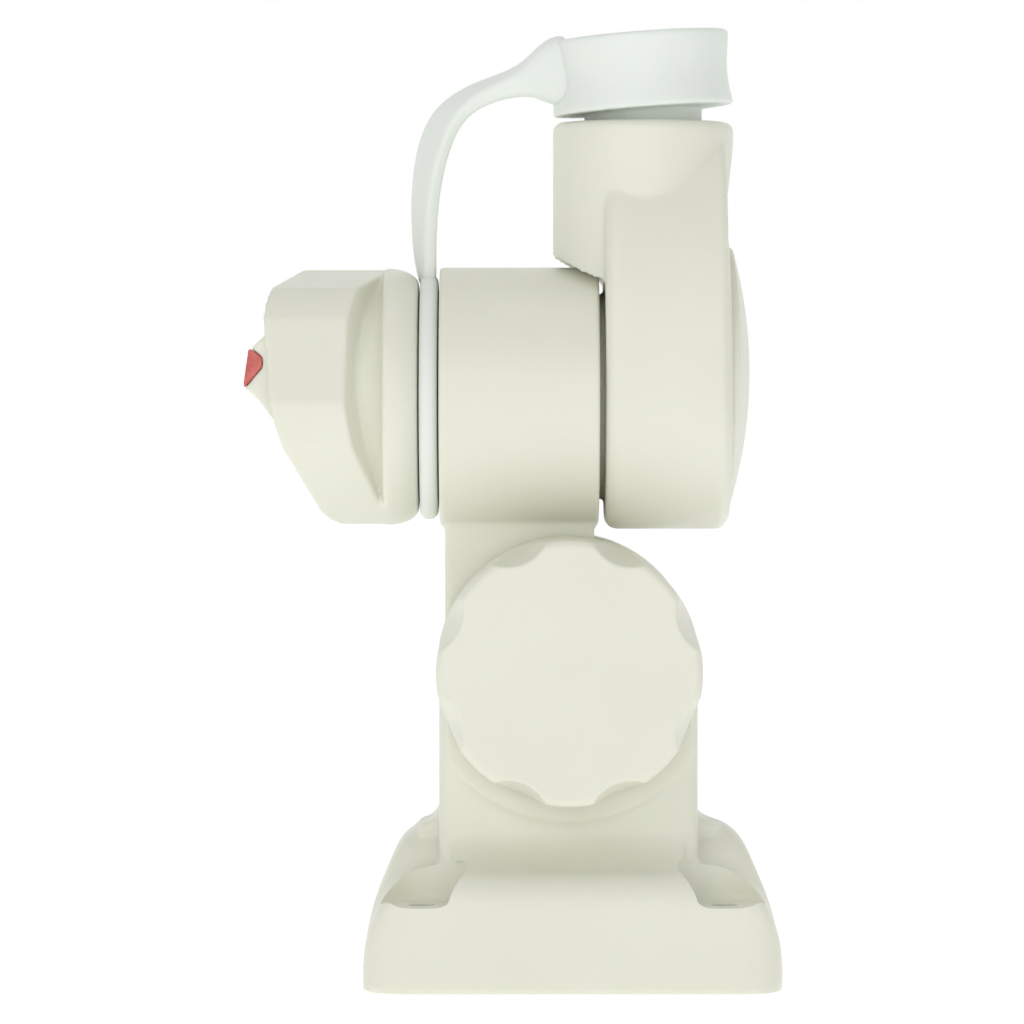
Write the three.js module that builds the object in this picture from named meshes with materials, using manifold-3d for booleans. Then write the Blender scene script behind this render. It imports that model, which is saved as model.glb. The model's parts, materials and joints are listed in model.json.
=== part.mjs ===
// Umbrella swivel bracket: a foot with a clevis, an arm that tilts in it, a socket head
// that swivels on the arm, a clamp handle, and a tethered plug for the socket.
// Millimetres. +Z is up, +X points to the head's cover and -Y to the tilt knob.
// The origin is the centre of the foot's underside.
import * as THREE from 'three';
import { mergeVertices } from 'three/addons/utils/BufferGeometryUtils.js';
import Module from 'manifold-3d';

const wasm = await Module();
wasm.setup();

// General fits
const GAP = 0.3; // between pieces that rest on each other
const RUNNING_GAP = 0.5; // between faces that turn past each other
const BOLT_RADIUS = 4;
const BOLT_CLEARANCE = 0.3;
const BOLT_HEAD_ACROSS = 3.25 * BOLT_RADIUS;
const BOLT_HEAD_HEIGHT = 5.3;
const EDGE_CUT = 0.3; // share of an edge round kept by its middle corner

// Foot
const FOOT_FLANGE_X = 16.4; // from the column to the foot's edge
const FOOT_FLANGE_Y = 16;
const FOOT_CORNER = 10;
const FOOT_OFFSET = 0.8; // the foot's middle is this far to +X of the hinge's
const FOOT_EDGE_HEIGHT = 16.5; // where the front face starts to turn over
const FOOT_EDGE_PULL = 22.6;
const CREASE_HEIGHT = 24.4;
const CREASE_SETBACK = 4.5;
const SWEEP_PULL = 26.4;
const RIDGE = 4; // half the width of the flat along the shoulders' top
const RIDGE_FOOT = 14; // half the depth of the shoulders where they stand on the foot
const COLUMN_SWEEP_TOP = 32;
// Seen along Y, corners as [in from the foot's side, height, round]
const SHOULDER_CORNERS = [[0, 12, 8], [7.4, 29.6, 3], [12.7, 33.6, 3]];
const FLANK_CORNERS = [[0, 10, 6], [3.8, 18.8, 3.4], [9.9, 24.2, 3.8], [18.2, 25.6, 4]];
const SCREW_EDGE_X = 12.2; // from the foot's edge to a screw
const SCREW_EDGE_Y = 8;
const SCREW_HOLE_RADIUS = 2.75;
const SCREW_RECESS_RADIUS = 9.5;
const SCREW_RECESS_TOP = 26.4;
const SCREW_SEAT_HEIGHT = 17.6;

// Column and tilt hinge
const COLUMN_WIDTH = 53.6;
const COLUMN_DEPTH = 40;
const COLUMN_CORNER = 3;
const HINGE_HEIGHT = 65.5;
const CROWN_EXTRA = 0.6;
const BOSS_RADIUS = 31.5;
const BOSS_HEIGHT = 1.2;
const BOSS_SIDE_INSET = 1.2;
const FRICTION_RADIUS = 18;
const FRICTION_HOLE_RADIUS = 9;
const FRICTION_THICKNESS = 1.1;
const BOLT_SEAT_FROM_FACE = 7.2;

// Tilt knob
const KNOB_RADIUS = 27.2;
const KNOB_DEPTH = 16;
const KNOB_EDGE = 1.6;
const KNOB_SCALLOPS = 8;
const SCALLOP_RADIUS = 8.8;
const SCALLOP_CUT = 3;
const SCALLOP_LEAN = 11; // degrees
const KNOB_WASHER_RADIUS = 12;
const KNOB_WASHER_THICKNESS = 1.6;
const INSERT_ACROSS = 3 * BOLT_RADIUS;
const KNOB_INSERT_LENGTH = 10;
const KNOB_FRONT_WALL = 2.4;

// Arm
const TONGUE_INSET = 1.1; // from the column's side
const TONGUE_THICKNESS = 15.4;
const NECK_RIGHT = 5.5;
const BARREL_CLEARANCE = 1.8; // above the column's crown
const BARREL_RADIUS = 27.1;
const BARREL_LEFT = -26.8;
const BARREL_RIGHT = 6.4;
const BARREL_ROUND = 3.2;
const HUB_RADIUS = 14;
const HUB_LENGTH = 3.8;
const BUSH_WALL = 2.5;
const BUSH_LENGTH = 12;
const SPRING_POCKET_RADIUS = 9;
const SPRING_POCKET_DEPTH = 7.5;
const SPRING_WIRE_RADIUS = 0.8;
const SPRING_RADIUS = 7.4;
const SPRING_TURNS = 3;

// Toothed clutch between barrel and head
const BARREL_WALL = 4.9;
const CLUTCH_CAVITY_DEPTH = 11.4;
const CLUTCH_BORE_RADIUS = 12;
const CLUTCH_BASE = 2.2;
const CLUTCH_TOOTH = 1.5;
const CLUTCH_TEETH = 24;
const CLUTCH_TOOTH_GAP = 0.6;

// Head
const HEAD_GAP = 1.2;
const HEAD_THICKNESS = 25.3;
const HEAD_LIP = 0.6; // how far the head stands out past the barrel
const HEAD_SHOULDER = 27.1; // the head's top above the saddle
const POLE_BORE_RADIUS = 12.75;
const POLE_BORE_DEPTH = 25;
const POLE_BORE_WALL = 4.35; // to the head's right face
const SOCKET_WALL = 6.15;
const SOCKET_LENGTH = 28.2; // above the saddle
const SOCKET_EDGE = 1.6;
const SADDLE_GAP = 2.1;
const RUNOUT_DROP = 16.4; // below the socket's top
const RUNOUT_LENGTH = 9;

// Cover on the head
const RIM_INSET = 1.8;
const RIM_TOP_INSET = 23;
const RIM_HEIGHT = 0.8;
const COVER_INSET = 1.8;
const COVER_RECESS = 2.5;
const COVER_HEIGHT = 4.4; // its highest point above the rim
const COVER_DOME_RADIUS = 95;
const COVER_PEAK_RISE = 5; // the highest point above the swivel
const COVER_WALL = 2;

// Clamp handle
const HANDLE_INSET = 0.2; // inside the barrel's radius
const HANDLE_DISC = 7.3;
const HANDLE_DISC_ROUND = 4;
const HANDLE_FACE_X = -51.7; // outer face, on the spindle's axis
const HANDLE_SLOPE_Y = 0.38;
const HANDLE_SLOPE_Z = -0.2;
const GRIP_BACK_SLOPE_Z = -0.09;
const GRIP_THICKNESS = 15.7; // along X
const GRIP_LIP = 2.3; // the grip's corners past the disc, before they are rounded to it
const GRIP_TURN = -13; // degrees from -Y towards +Z, to the grip's first corner
const HANDLE_HUB_INSET = 6.2; // the recess's floor, inside the disc's edge
const HANDLE_HUB_FLARE = 2.2;
const HANDLE_INSERT_LENGTH = 13.5;
const THRUST_RADIUS = 13;
const THRUST_THICKNESS = 1.5;

// Pointer on the handle: places in from its tip, and up from its middle
const POINTER_FROM_Y = -21.4;
const POINTER_TO_Y = -13;
const POINTER_RISE = 5; // its middle above the swivel
const POINTER_TIP = -15.4; // from the handle's outer face on the axis
const POINTER_TOP = 8.7;
const POINTER_BROW = 4.8;
const POINTER_TIP_DROP = -2.8;
const POINTER_CHIN = -7.9;
const POINTER_FOOT = -10;
const LENS_TOP_DEPTH = 1.8;
const LENS_DEPTH = 4.1;
const LENS_SLANT = 1.9;
const LENS_BACK_WALL = 1.5;

// Plug, strap and ring
const TETHER_RING_INSET = 1.4; // inside the barrel's radius
const TETHER_RING_THICKNESS = 3.8;
const STRAP_WIDTH = 10;
const STRAP_THICKNESS = 3.3;
const STRAP_SLOPE_DROP = 5; // below the cap's middle, where the strap levels off
const STRAP_END_DROP = 1.6;
const STRAP_RUN = 6; // level length before the cap
const STRAP_RISES = [[0, 12], [1.6, 20], [5.8, 31]]; // [right, up] from the ring's top
const STRAP_BEND_RIGHT = 12;
const CAP_LIP = 0.1; // the cap past the socket's side
const CAP_HEIGHT = 15.6;
const CAP_LIFT = 2.6; // above the socket's rim, on the socket's axis
const CAP_TILT = 4.4; // degrees, lower on the strap's side
const CAP_WAIST = 0.7;
const CAP_WAIST_SHARE = 0.45; // of the cap's height
const CAP_EDGE = 1;
const NECK_CLEARANCE = 0.45;
const NECK_DEPTH = 13;
const NECK_LEAD = 2;

// Sizes that follow from those above
const footWidth = COLUMN_WIDTH + 2 * FOOT_FLANGE_X;
const footDepth = COLUMN_DEPTH + 2 * FOOT_FLANGE_Y;
const screwX = footWidth / 2 - SCREW_EDGE_X;
const screwY = footDepth / 2 - SCREW_EDGE_Y;
const crownRadius = COLUMN_WIDTH / 2 + CROWN_EXTRA;
const swivelHeight = HINGE_HEIGHT + crownRadius + BARREL_CLEARANCE + BARREL_RADIUS;
const hingeBore = BOLT_RADIUS + BOLT_CLEARANCE;
const tongueRadius = COLUMN_WIDTH / 2 - TONGUE_INSET;
const columnFace = COLUMN_DEPTH / 2;
const bossFace = columnFace + BOSS_HEIGHT;
const tongueHalf = TONGUE_THICKNESS / 2;
const slotHalf = tongueHalf + RUNNING_GAP;
const frictionSeat = tongueHalf + FRICTION_THICKNESS + 2 * GAP;
const boltSeat = bossFace - BOLT_SEAT_FROM_FACE;
const knobBack = bossFace + RUNNING_GAP;
const knobFront = knobBack + KNOB_DEPTH;
const knobWasherBack = bossFace + GAP;
const knobPocket = knobWasherBack + KNOB_WASHER_THICKNESS + GAP;
const hubEnd = BARREL_LEFT - HUB_LENGTH;
const cavityRadius = BARREL_RADIUS - BARREL_WALL;
const spigotRadius = cavityRadius - GAP - RUNNING_GAP;
const cavityFloor = BARREL_RIGHT - CLUTCH_CAVITY_DEPTH;
const headLeft = BARREL_RIGHT + HEAD_GAP;
const headRight = headLeft + HEAD_THICKNESS;
const fixedRingBack = cavityFloor + GAP;
const fixedRingTip = fixedRingBack + CLUTCH_BASE + CLUTCH_TOOTH;
const movingRingTip = fixedRingTip + CLUTCH_TOOTH_GAP;
const movingRingBack = movingRingTip + CLUTCH_TOOTH + CLUTCH_BASE;
const spigotEnd = movingRingBack + GAP;
const rimFace = headRight + RIM_HEIGHT;
const coverSeat = rimFace - COVER_RECESS;
const coverTop = rimFace + COVER_HEIGHT;
const saddleRadius = BARREL_RADIUS + SADDLE_GAP;
const headRadius = BARREL_RADIUS + HEAD_LIP;
const headRise = saddleRadius + HEAD_SHOULDER;
const socketX = headRight - POLE_BORE_WALL - POLE_BORE_RADIUS;
const socketRadius = POLE_BORE_RADIUS + SOCKET_WALL;
const socketTop = swivelHeight + saddleRadius + SOCKET_LENGTH;
const socketFloor = socketTop - POLE_BORE_DEPTH;
const runoutHeight = socketTop - RUNOUT_DROP;
const handleRadius = BARREL_RADIUS - HANDLE_INSET;
const gripRadius = handleRadius + GRIP_LIP;
const hubRadius = handleRadius - HANDLE_HUB_INSET;
const pointerHeight = swivelHeight + POINTER_RISE;
const pointerTip = HANDLE_FACE_X + POINTER_TIP;
const thrustFace = hubEnd - GAP;
const handlePocket = thrustFace - THRUST_THICKNESS - GAP;
const discInner = hubEnd - GAP - RUNNING_GAP / 2;
const discOuter = discInner - HANDLE_DISC;
const tetherRight = BARREL_LEFT - GAP;
const tetherLeft = tetherRight - TETHER_RING_THICKNESS;
const tetherRadius = BARREL_RADIUS - TETHER_RING_INSET;
const plugNeckRadius = POLE_BORE_RADIUS - NECK_CLEARANCE;
const capRadius = socketRadius + CAP_LIP;
const capBottom = socketTop + CAP_LIFT;

// Directions for outlines: drawn in the plane across the axis, pushed out along it
const X = new THREE.Vector3(1, 0, 0);
const Y = new THREE.Vector3(0, 1, 0);
const Z = new THREE.Vector3(0, 0, 1);
const across = {
  x: new THREE.Matrix4().makeBasis(Y, Z, X),
  y: new THREE.Matrix4().makeBasis(X, Z, Y.clone().negate()),
  z: new THREE.Matrix4(),
};
const degrees = THREE.MathUtils.degToRad;

function solid(geometry) {
  const bare = geometry.clone();
  bare.deleteAttribute('normal');
  bare.deleteAttribute('uv');
  const merged = mergeVertices(bare, 1e-4);
  return new wasm.Manifold(new wasm.Mesh({
    numProp: 3,
    vertProperties: Float32Array.from(merged.attributes.position.array),
    triVerts: Uint32Array.from(merged.index.array),
  }));
}

function body(manifold) {
  const mesh = manifold.getMesh();
  const geometry = new THREE.BufferGeometry();
  geometry.setAttribute('position', new THREE.BufferAttribute(mesh.vertProperties, 3));
  geometry.setIndex(new THREE.BufferAttribute(mesh.triVerts, 1));
  geometry.computeVertexNormals();
  return geometry;
}

// A cylinder along an axis, between two places on it, centred on (u, v) across it
function rod(axis, radius, from, to, u = 0, v = 0, sides = 28) {
  const geometry = new THREE.CylinderGeometry(radius, radius, to - from, sides);
  const middle = (from + to) / 2;
  if (axis === 'x') {
    geometry.rotateZ(-Math.PI / 2);
    geometry.translate(middle, u, v);
  } else if (axis === 'y') {
    geometry.translate(u, middle, v);
  } else {
    geometry.rotateX(Math.PI / 2);
    geometry.translate(u, v, middle);
  }
  return solid(geometry);
}

function block(from, to) {
  const size = to.map((value, i) => value - from[i]);
  const geometry = new THREE.BoxGeometry(...size);
  geometry.translate(...from.map((value, i) => value + size[i] / 2));
  return solid(geometry);
}

// An outline pushed out along an axis between two places on it
function slab(axis, outline, from, to, curveSegments = 8) {
  const geometry = new THREE.ExtrudeGeometry(outline, {
    depth: to - from,
    bevelEnabled: false,
    curveSegments,
  });
  geometry.applyMatrix4(across[axis]);
  const shift = axis === 'y' ? to : from;
  geometry.translate(axis === 'x' ? shift : 0, axis === 'y' ? shift : 0, axis === 'z' ? shift : 0);
  return solid(geometry);
}

// A profile of [radius, place along the axis] turned about X, Y or Z
function turned(axis, profile, u = 0, v = 0, sides = 40) {
  const points = profile.map(([radius, place]) => new THREE.Vector2(radius, place));
  const geometry = new THREE.LatheGeometry(points, sides);
  if (axis === 'x') {
    geometry.rotateZ(-Math.PI / 2);
    geometry.translate(0, u, v);
  } else if (axis === 'y') {
    geometry.translate(u, 0, v);
  } else {
    geometry.rotateX(Math.PI / 2);
    geometry.translate(u, v, 0);
  }
  return solid(geometry);
}

// A closed outline of corners [x, y, round], each round a curve that far along both sides
function outlineOf(corners) {
  const shape = new THREE.Shape();
  corners.forEach(([x, y, round = 0], i) => {
    const here = new THREE.Vector2(x, y);
    const before = new THREE.Vector2(...corners.at(i - 1));
    const after = new THREE.Vector2(...corners[(i + 1) % corners.length]);
    const enter = before.sub(here).setLength(round).add(here);
    const leave = after.sub(here).setLength(round).add(here);
    if (i === 0) {
      shape.moveTo(enter.x, enter.y);
    } else {
      shape.lineTo(enter.x, enter.y);
    }
    if (round > 0) {
      shape.quadraticCurveTo(x, y, leave.x, leave.y);
    }
  });
  shape.closePath();
  return shape;
}

function rectangle(halfWidth, halfDepth, round) {
  return outlineOf([
    [-halfWidth, -halfDepth, round],
    [halfWidth, -halfDepth, round],
    [halfWidth, halfDepth, round],
    [-halfWidth, halfDepth, round],
  ]);
}

// A round lower half and a taller elliptical upper half, about the swivel's axis, in (Y, Z)
function egg(radius, rise) {
  const shape = new THREE.Shape();
  shape.absarc(0, swivelHeight, radius, Math.PI, 2 * Math.PI, false);
  shape.absellipse(0, swivelHeight, radius, rise, 0, Math.PI, false);
  return shape;
}

function hexagon(acrossFlats, u, v) {
  const radius = acrossFlats / Math.sqrt(3);
  const corners = [];
  for (let i = 0; i < 6; i++) {
    const turn = i * Math.PI / 3;
    corners.push([u + radius * Math.cos(turn), v + radius * Math.sin(turn)]);
  }
  return outlineOf(corners);
}

// ---- Foot and column

function columnOutline(inset) {
  const half = COLUMN_WIDTH / 2 - inset;
  const crown = crownRadius - inset;
  const start = Math.acos(half / crown);
  const shape = new THREE.Shape();
  shape.moveTo(-half, 0);
  shape.lineTo(half, 0);
  shape.absarc(0, HINGE_HEIGHT, crown, start, Math.PI - start, false);
  shape.closePath();
  return shape;
}

// The foot seen along X: upright edges, a crease, then a hollow sweep up to a ridge
function sweepOutline(ridge, top) {
  const edge = footDepth / 2;
  const crease = edge - CREASE_SETBACK;
  const shape = new THREE.Shape();
  shape.moveTo(-edge, 0);
  shape.lineTo(edge, 0);
  shape.lineTo(edge, FOOT_EDGE_HEIGHT);
  shape.quadraticCurveTo(edge, FOOT_EDGE_PULL, crease, CREASE_HEIGHT);
  shape.quadraticCurveTo(ridge + 1, SWEEP_PULL, ridge, top);
  shape.lineTo(-ridge, top);
  shape.quadraticCurveTo(-ridge - 1, SWEEP_PULL, -crease, CREASE_HEIGHT);
  shape.quadraticCurveTo(-edge, FOOT_EDGE_PULL, -edge, FOOT_EDGE_HEIGHT);
  shape.closePath();
  return shape;
}

// The raised shoulders between the screws, seen along X
function ridgeOutline(top) {
  const shape = new THREE.Shape();
  shape.moveTo(-RIDGE_FOOT, 0);
  shape.lineTo(RIDGE_FOOT, 0);
  shape.lineTo(RIDGE_FOOT, CREASE_HEIGHT);
  shape.quadraticCurveTo(RIDGE_FOOT, SWEEP_PULL + 1, RIDGE, top);
  shape.lineTo(-RIDGE, top);
  shape.quadraticCurveTo(-RIDGE_FOOT, SWEEP_PULL + 1, -RIDGE_FOOT, CREASE_HEIGHT);
  shape.closePath();
  return shape;
}

// The foot seen along Y, from the corners of its right half
function footSide(corners) {
  const half = footWidth / 2;
  const right = corners.map(([inset, height, round]) => [FOOT_OFFSET + half - inset, height, round]);
  const left = corners.map(([inset, height, round]) => [FOOT_OFFSET - half + inset, height, round]);
  return outlineOf([[FOOT_OFFSET - half, 0], [FOOT_OFFSET + half, 0], ...right, ...left.toReversed()]);
}

function makeFoot() {
  const halfDepth = footDepth / 2;
  const top = SHOULDER_CORNERS.at(-1)[1];
  const far = footWidth;
  const plan = slab('z', rectangle(footWidth / 2, halfDepth, FOOT_CORNER), 0, top, 6)
    .translate([FOOT_OFFSET, 0, 0]);
  const halfColumn = COLUMN_WIDTH / 2 - COLUMN_CORNER;
  const flanks = slab('y', footSide(FLANK_CORNERS), -halfDepth, halfDepth, 4)
    .intersect(slab('x', sweepOutline(RIDGE, top), -far, far, 6));
  const shoulders = slab('y', footSide(SHOULDER_CORNERS), -halfDepth, halfDepth, 4)
    .intersect(slab('x', ridgeOutline(top), -far, far, 5));
  const columnSweep = slab('x', sweepOutline(columnFace, COLUMN_SWEEP_TOP), -halfColumn, halfColumn, 6);
  return plan.intersect(flanks.add(shoulders).add(columnSweep));
}

function makeColumn() {
  const plan = rectangle(COLUMN_WIDTH / 2, columnFace, COLUMN_CORNER);
  const shaft = slab('y', columnOutline(0), -columnFace, columnFace, 24)
    .intersect(slab('z', plan, 0, HINGE_HEIGHT + COLUMN_WIDTH, 3));
  const bosses = rod('y', BOSS_RADIUS, -bossFace, bossFace, 0, HINGE_HEIGHT, 48)
    .intersect(slab('y', columnOutline(BOSS_SIDE_INSET), -bossFace, bossFace, 24));
  return shaft.add(bosses);
}

function makePedestal() {
  let pedestal = makeFoot().add(makeColumn());
  const slotFloor = HINGE_HEIGHT - tongueRadius - RUNNING_GAP;
  const top = HINGE_HEIGHT + COLUMN_WIDTH;
  pedestal = pedestal
    .subtract(block([-COLUMN_WIDTH, -slotHalf, slotFloor], [COLUMN_WIDTH, slotHalf, top]))
    .subtract(rod('y', FRICTION_RADIUS + GAP, -frictionSeat, frictionSeat, 0, HINGE_HEIGHT))
    .subtract(rod('y', hingeBore, -footDepth, footDepth, 0, HINGE_HEIGHT, 16))
    .subtract(slab('y', hexagon(BOLT_HEAD_ACROSS + 2 * GAP, 0, HINGE_HEIGHT), boltSeat, footDepth));
  for (const x of [FOOT_OFFSET - screwX, FOOT_OFFSET + screwX]) {
    for (const y of [-screwY, screwY]) {
      pedestal = pedestal
        .subtract(rod('z', SCREW_RECESS_RADIUS, SCREW_SEAT_HEIGHT, SCREW_RECESS_TOP, x, y, 24))
        .subtract(rod('z', SCREW_HOLE_RADIUS, -1, SCREW_RECESS_TOP, x, y, 12));
    }
  }
  return pedestal;
}

// ---- Tilt hinge

function makeHingeBolt() {
  const headFrom = boltSeat + GAP;
  const shankEnd = -(knobFront - KNOB_FRONT_WALL - GAP);
  return slab('y', hexagon(BOLT_HEAD_ACROSS, 0, HINGE_HEIGHT), headFrom, headFrom + BOLT_HEAD_HEIGHT)
    .add(rod('y', BOLT_RADIUS, shankEnd, headFrom + 1, 0, HINGE_HEIGHT, 16));
}

function makeFrictionRing(side) {
  const inner = tongueHalf + GAP;
  const outer = frictionSeat - GAP;
  const from = side < 0 ? -outer : inner;
  const to = side < 0 ? -inner : outer;
  return rod('y', FRICTION_RADIUS, from, to, 0, HINGE_HEIGHT)
    .subtract(rod('y', FRICTION_HOLE_RADIUS, from - 1, to + 1, 0, HINGE_HEIGHT, 16));
}

function makeKnobWasher() {
  const back = -knobWasherBack;
  const front = back - KNOB_WASHER_THICKNESS;
  return rod('y', KNOB_WASHER_RADIUS, front, back, 0, HINGE_HEIGHT)
    .subtract(rod('y', hingeBore, front - 1, back + 1, 0, HINGE_HEIGHT, 16));
}

function makeTiltKnob() {
  const edge = KNOB_EDGE;
  let knob = turned('y', [
    [0, -knobFront],
    [KNOB_RADIUS - edge, -knobFront],
    [KNOB_RADIUS - edge * EDGE_CUT, -knobFront + edge * EDGE_CUT],
    [KNOB_RADIUS, -knobFront + edge],
    [KNOB_RADIUS, -knobBack],
    [0, -knobBack],
  ], 0, HINGE_HEIGHT, 48);
  const lean = degrees(SCALLOP_LEAN);
  for (let i = 0; i < KNOB_SCALLOPS; i++) {
    const turn = (i + 0.5) * 2 * Math.PI / KNOB_SCALLOPS;
    const scoop = new THREE.CylinderGeometry(SCALLOP_RADIUS, SCALLOP_RADIUS, 4 * KNOB_DEPTH, 20);
    scoop.rotateZ(-lean);
    scoop.translate(KNOB_RADIUS - SCALLOP_CUT + SCALLOP_RADIUS / Math.cos(lean), -knobFront, 0);
    scoop.rotateY(turn);
    scoop.translate(0, 0, HINGE_HEIGHT);
    knob = knob.subtract(solid(scoop));
  }
  const insertEnd = knobPocket + KNOB_INSERT_LENGTH + 2 * GAP;
  return knob
    .subtract(rod('y', KNOB_WASHER_RADIUS + GAP, -knobPocket, 0, 0, HINGE_HEIGHT))
    .subtract(slab('y', hexagon(INSERT_ACROSS + 2 * GAP, 0, HINGE_HEIGHT), -insertEnd, 0))
    .subtract(rod('y', hingeBore, -(knobFront - KNOB_FRONT_WALL), 0, 0, HINGE_HEIGHT, 16));
}

function makeKnobInsert() {
  const from = -(knobPocket + GAP + KNOB_INSERT_LENGTH);
  const to = -(knobPocket + GAP);
  return slab('y', hexagon(INSERT_ACROSS, 0, HINGE_HEIGHT), from, to)
    .subtract(rod('y', hingeBore, from - 1, to + 1, 0, HINGE_HEIGHT, 16));
}

// ---- Arm

function makeArm() {
  const round = BARREL_ROUND;
  const barrel = turned('x', [
    [0, BARREL_LEFT],
    [BARREL_RADIUS - round, BARREL_LEFT],
    [BARREL_RADIUS - round * EDGE_CUT, BARREL_LEFT + round * EDGE_CUT],
    [BARREL_RADIUS, BARREL_LEFT + round],
    [BARREL_RADIUS, BARREL_RIGHT - round],
    [BARREL_RADIUS - round * EDGE_CUT, BARREL_RIGHT - round * EDGE_CUT],
    [BARREL_RADIUS - round, BARREL_RIGHT],
    [0, BARREL_RIGHT],
  ], 0, swivelHeight, 44);
  const springFloor = cavityFloor - SPRING_POCKET_DEPTH;
  const bushBore = hingeBore + BUSH_WALL + 2 * GAP;
  return rod('y', tongueRadius, -tongueHalf, tongueHalf, 0, HINGE_HEIGHT, 40)
    .add(block([-tongueRadius, -tongueHalf, HINGE_HEIGHT], [NECK_RIGHT, tongueHalf, swivelHeight]))
    .add(barrel)
    .add(rod('x', HUB_RADIUS, hubEnd, 0, 0, swivelHeight))
    .subtract(rod('x', cavityRadius, cavityFloor, headLeft, 0, swivelHeight, 36))
    .subtract(rod('x', SPRING_POCKET_RADIUS, springFloor, headLeft, 0, swivelHeight))
    .subtract(rod('x', hingeBore, hubEnd - 1, headLeft, 0, swivelHeight, 16))
    .subtract(rod('x', bushBore, hubEnd - 1, hubEnd + BUSH_LENGTH + GAP, 0, swivelHeight, 16))
    .subtract(rod('y', hingeBore, -COLUMN_DEPTH, COLUMN_DEPTH, 0, HINGE_HEIGHT, 16));
}

function makeBush() {
  const bushRadius = hingeBore + BUSH_WALL + GAP;
  return rod('x', bushRadius, hubEnd, hubEnd + BUSH_LENGTH, 0, swivelHeight, 16)
    .subtract(rod('x', hingeBore, hubEnd - 1, hubEnd + BUSH_LENGTH + 1, 0, swivelHeight, 16));
}

// A ring about the swivel's axis with teeth on one face: back is its flat side, and the
// teeth point along side. A tooth's crest is at half its pitch from the start.
function makeClutchRing(back, side, start) {
  const steps = CLUTCH_TEETH * 2;
  const base = back + side * CLUTCH_BASE;
  const tip = base + side * CLUTCH_TOOTH;
  const profile = [
    [CLUTCH_BORE_RADIUS, back],
    [spigotRadius, back],
    [spigotRadius, base],
    [CLUTCH_BORE_RADIUS, base],
    [CLUTCH_BORE_RADIUS, back],
  ];
  const points = (side > 0 ? profile : profile.toReversed())
    .map(([radius, place]) => new THREE.Vector2(radius, place));
  const geometry = new THREE.LatheGeometry(points, steps, start);
  const place = geometry.attributes.position;
  for (let i = 0; i < place.count; i++) {
    const spoke = Math.floor(i / points.length);
    if (spoke % 2 === 1 && Math.abs(place.getY(i) - base) < GAP) {
      place.setY(i, tip);
    }
  }
  geometry.rotateZ(-Math.PI / 2);
  geometry.translate(0, 0, swivelHeight);
  return solid(geometry);
}

function makeSpring() {
  const from = cavityFloor - SPRING_POCKET_DEPTH + SPRING_WIRE_RADIUS + GAP;
  const to = spigotEnd - SPRING_WIRE_RADIUS - GAP;
  const steps = SPRING_TURNS * 10;
  const points = [];
  for (let i = 0; i <= steps; i++) {
    const share = i / steps;
    const turn = share * SPRING_TURNS * 2 * Math.PI;
    points.push(new THREE.Vector3(
      from + share * (to - from),
      SPRING_RADIUS * Math.cos(turn),
      swivelHeight + SPRING_RADIUS * Math.sin(turn),
    ));
  }
  const wire = new THREE.Shape();
  wire.absarc(0, 0, SPRING_WIRE_RADIUS, 0, 2 * Math.PI, false);
  return solid(new THREE.ExtrudeGeometry(wire, {
    steps: SPRING_TURNS * 12,
    curveSegments: 5,
    bevelEnabled: false,
    extrudePath: new THREE.CatmullRomCurve3(points),
  }));
}

// ---- Head

function makeHead() {
  const overlap = 1;
  const plate = slab('x', egg(headRadius, headRise), headLeft, headRight, 18);
  const edge = SOCKET_EDGE;
  const socket = turned('z', [
    [0, swivelHeight],
    [socketRadius, swivelHeight],
    [socketRadius, socketTop - edge],
    [socketRadius - edge * EDGE_CUT, socketTop - edge * EDGE_CUT],
    [socketRadius - edge, socketTop],
    [0, socketTop],
  ], socketX, 0, 40);
  const far = 2 * headRise;
  const runout = slab('y', outlineOf([
    [headRight, 0],
    [headRight + far, 0],
    [headRight + far, runoutHeight + RUNOUT_LENGTH],
    [socketX + socketRadius, runoutHeight + RUNOUT_LENGTH],
    [headRight, runoutHeight],
  ]), -far, far);
  const lowerBox = block([-far, -far, 0], [headLeft + overlap, far, swivelHeight]);
  const saddle = rod('x', saddleRadius, -far, headLeft, 0, swivelHeight, 40);
  const rim = slab('x', egg(headRadius - RIM_INSET, headRise - RIM_TOP_INSET),
    headRight - overlap, rimFace, 14);
  const seat = slab('x', coverOutline(0), coverSeat, rimFace + overlap, 14);
  const boltSeatX = coverSeat - BOLT_HEAD_HEIGHT - 2 * GAP;
  return plate
    .add(socket.subtract(runout).subtract(lowerBox))
    .subtract(saddle)
    .add(rod('x', spigotRadius, spigotEnd, headLeft + overlap, 0, swivelHeight, 36))
    .add(rim)
    .subtract(seat)
    .subtract(rod('z', POLE_BORE_RADIUS, socketFloor, socketTop + overlap, socketX, 0, 36))
    .subtract(slab('x', hexagon(BOLT_HEAD_ACROSS + 2 * GAP, 0, swivelHeight), boltSeatX, far))
    .subtract(rod('x', hingeBore, -far, far, 0, swivelHeight, 16));
}

function makeSpindle() {
  const headFrom = coverSeat - BOLT_HEAD_HEIGHT - GAP;
  const shankEnd = handlePocket - HANDLE_INSERT_LENGTH - GAP;
  return slab('x', hexagon(BOLT_HEAD_ACROSS, 0, swivelHeight), headFrom, headFrom + BOLT_HEAD_HEIGHT)
    .add(rod('x', BOLT_RADIUS, shankEnd, headFrom + 1, 0, swivelHeight, 16));
}

// The cover's outline, drawn in from its seat in the head
function coverOutline(inset) {
  const total = RIM_INSET + COVER_INSET + inset;
  return egg(headRadius - total, headRise - RIM_TOP_INSET - COVER_INSET - inset);
}

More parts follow.
